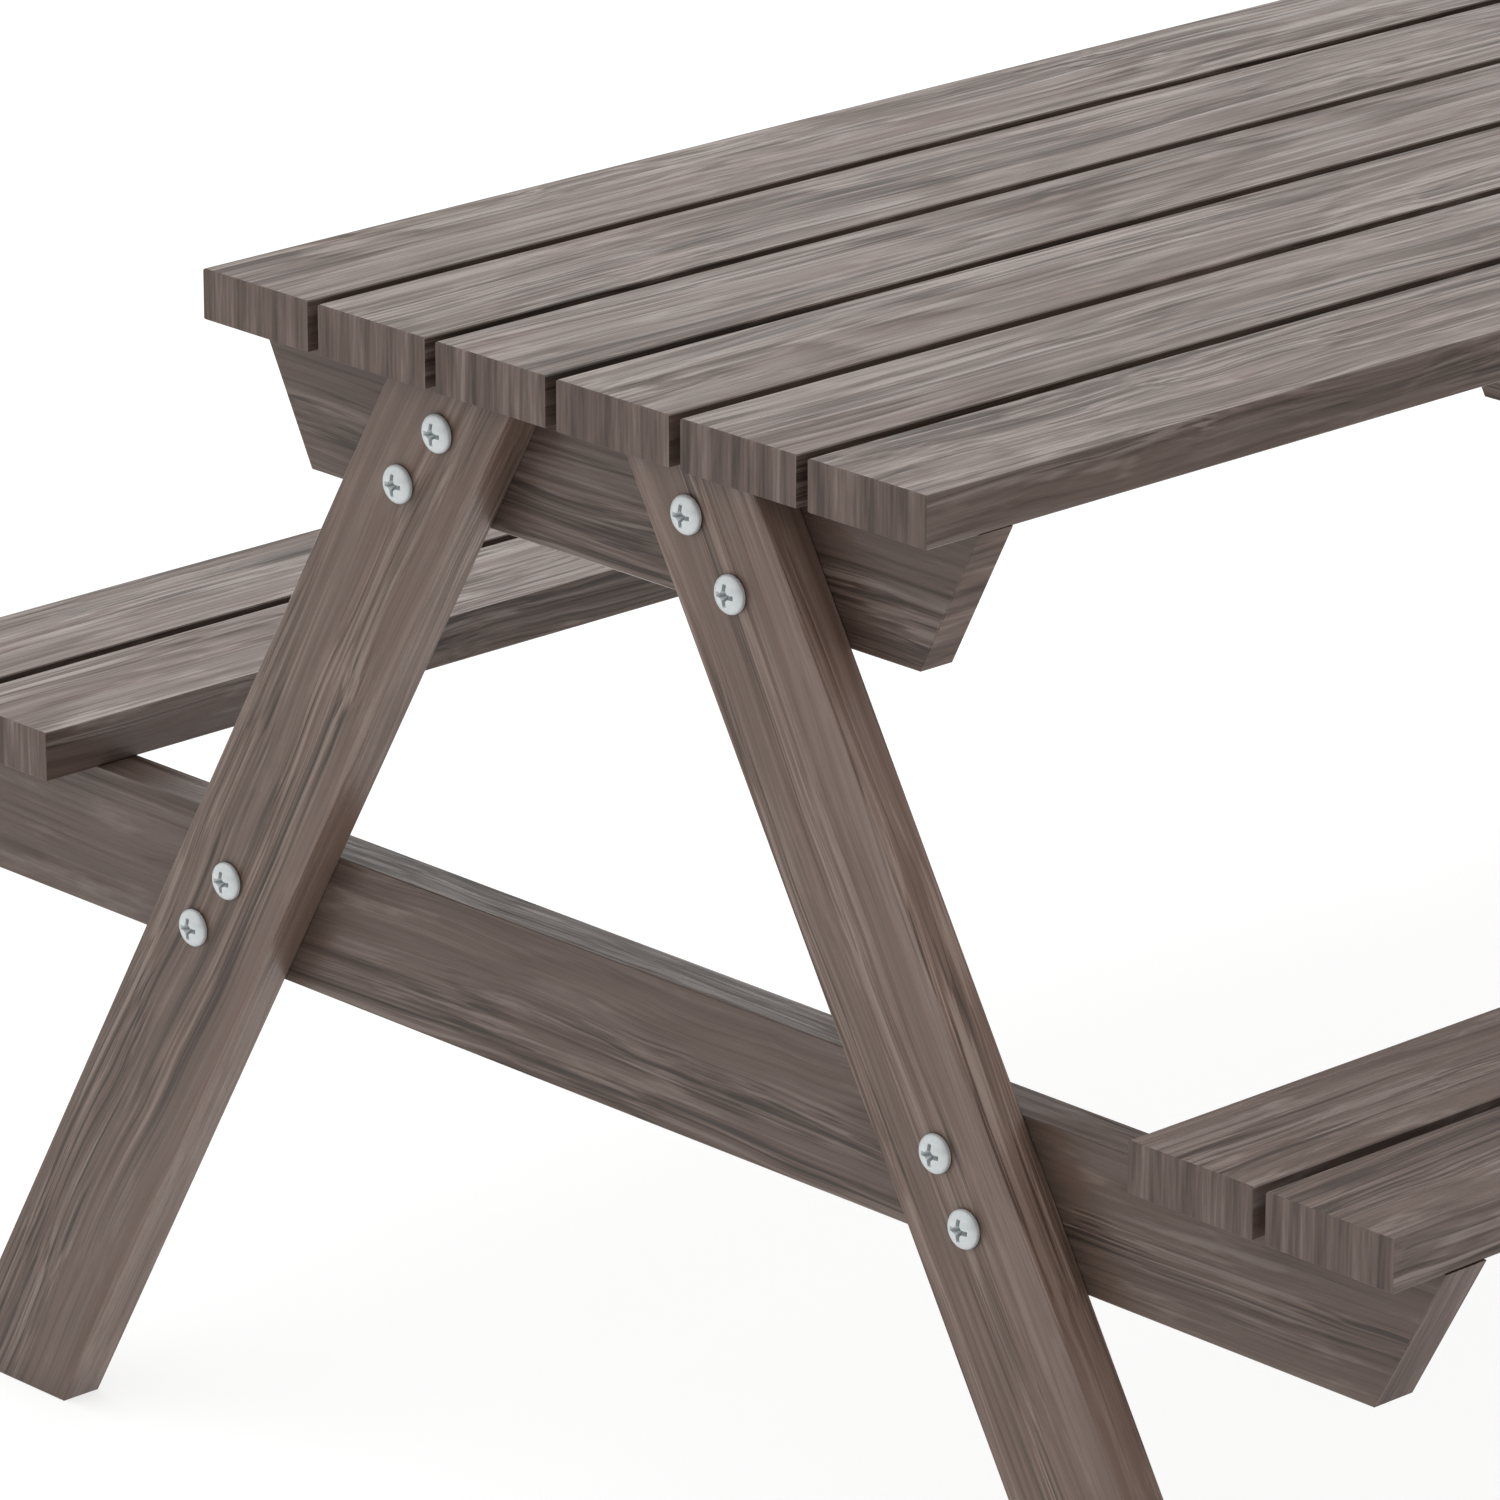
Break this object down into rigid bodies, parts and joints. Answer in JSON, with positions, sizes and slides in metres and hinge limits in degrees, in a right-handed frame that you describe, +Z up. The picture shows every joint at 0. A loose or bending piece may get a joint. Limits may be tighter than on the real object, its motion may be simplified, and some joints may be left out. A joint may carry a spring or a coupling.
{
  "type": "picnic table",
  "caption": "Timber picnic table with a slatted top, two fixed slatted benches and an A-shaped frame of leaning legs and two cross bearers at each end.",
  "frame": {"origin": "on the ground under the middle of the table", "axes": "+X along the boards towards the far end, +Y across the boards towards the left bench, +Z up"},
  "size_m": [1.478, 1.271, 0.75],
  "materials": {
    "board_timber": "grey-brown stained, streaky straight grain with pale figure, matt to satin",
    "frame_timber": "grey-brown stained, streaky straight grain, matt to satin",
    "joint_screws": "pale zinc, satin",
    "board_screws": "zinc, satin"
  },
  "bodies": {
    "root": {"top_board_1": "board_timber", "top_board_2": "board_timber", "top_board_3": "board_timber", "top_board_4": "board_timber", "top_board_5": "board_timber", "top_board_6": "board_timber", "seat_board_left_inner": "board_timber", "seat_board_left_outer": "board_timber", "seat_board_right_inner": "board_timber", "seat_board_right_outer": "board_timber", "leg_near_left": "frame_timber", "leg_near_right": "frame_timber", "top_bearer_near": "frame_timber", "seat_bearer_near": "frame_timber", "leg_far_left": "frame_timber", "leg_far_right": "frame_timber", "top_bearer_far": "frame_timber", "seat_bearer_far": "frame_timber", "joint_screw_near_left_top_upper": "joint_screws", "joint_screw_near_left_top_lower": "joint_screws", "joint_screw_near_left_seat_upper": "joint_screws", "joint_screw_near_left_seat_lower": "joint_screws", "joint_screw_near_right_top_upper": "joint_screws", "joint_screw_near_right_top_lower": "joint_screws", "joint_screw_near_right_seat_upper": "joint_screws", "joint_screw_near_right_seat_lower": "joint_screws", "joint_screw_far_left_top_upper": "joint_screws", "joint_screw_far_left_top_lower": "joint_screws", "joint_screw_far_left_seat_upper": "joint_screws", "joint_screw_far_left_seat_lower": "joint_screws", "joint_screw_far_right_top_upper": "joint_screws", "joint_screw_far_right_top_lower": "joint_screws", "joint_screw_far_right_seat_upper": "joint_screws", "joint_screw_far_right_seat_lower": "joint_screws", "board_screw_near_top_1": "board_screws", "board_screw_near_top_2": "board_screws", "board_screw_near_top_3": "board_screws", "board_screw_near_top_4": "board_screws", "board_screw_near_top_5": "board_screws", "board_screw_near_top_6": "board_screws", "board_screw_near_seat_1": "board_screws", "board_screw_near_seat_2": "board_screws", "board_screw_near_seat_3": "board_screws", "board_screw_near_seat_4": "board_screws", "board_screw_far_top_1": "board_screws", "board_screw_far_top_2": "board_screws", "board_screw_far_top_3": "board_screws", "board_screw_far_top_4": "board_screws", "board_screw_far_top_5": "board_screws", "board_screw_far_top_6": "board_screws", "board_screw_far_seat_1": "board_screws", "board_screw_far_seat_2": "board_screws", "board_screw_far_seat_3": "board_screws", "board_screw_far_seat_4": "board_screws"}
  },
  "joints": []
}
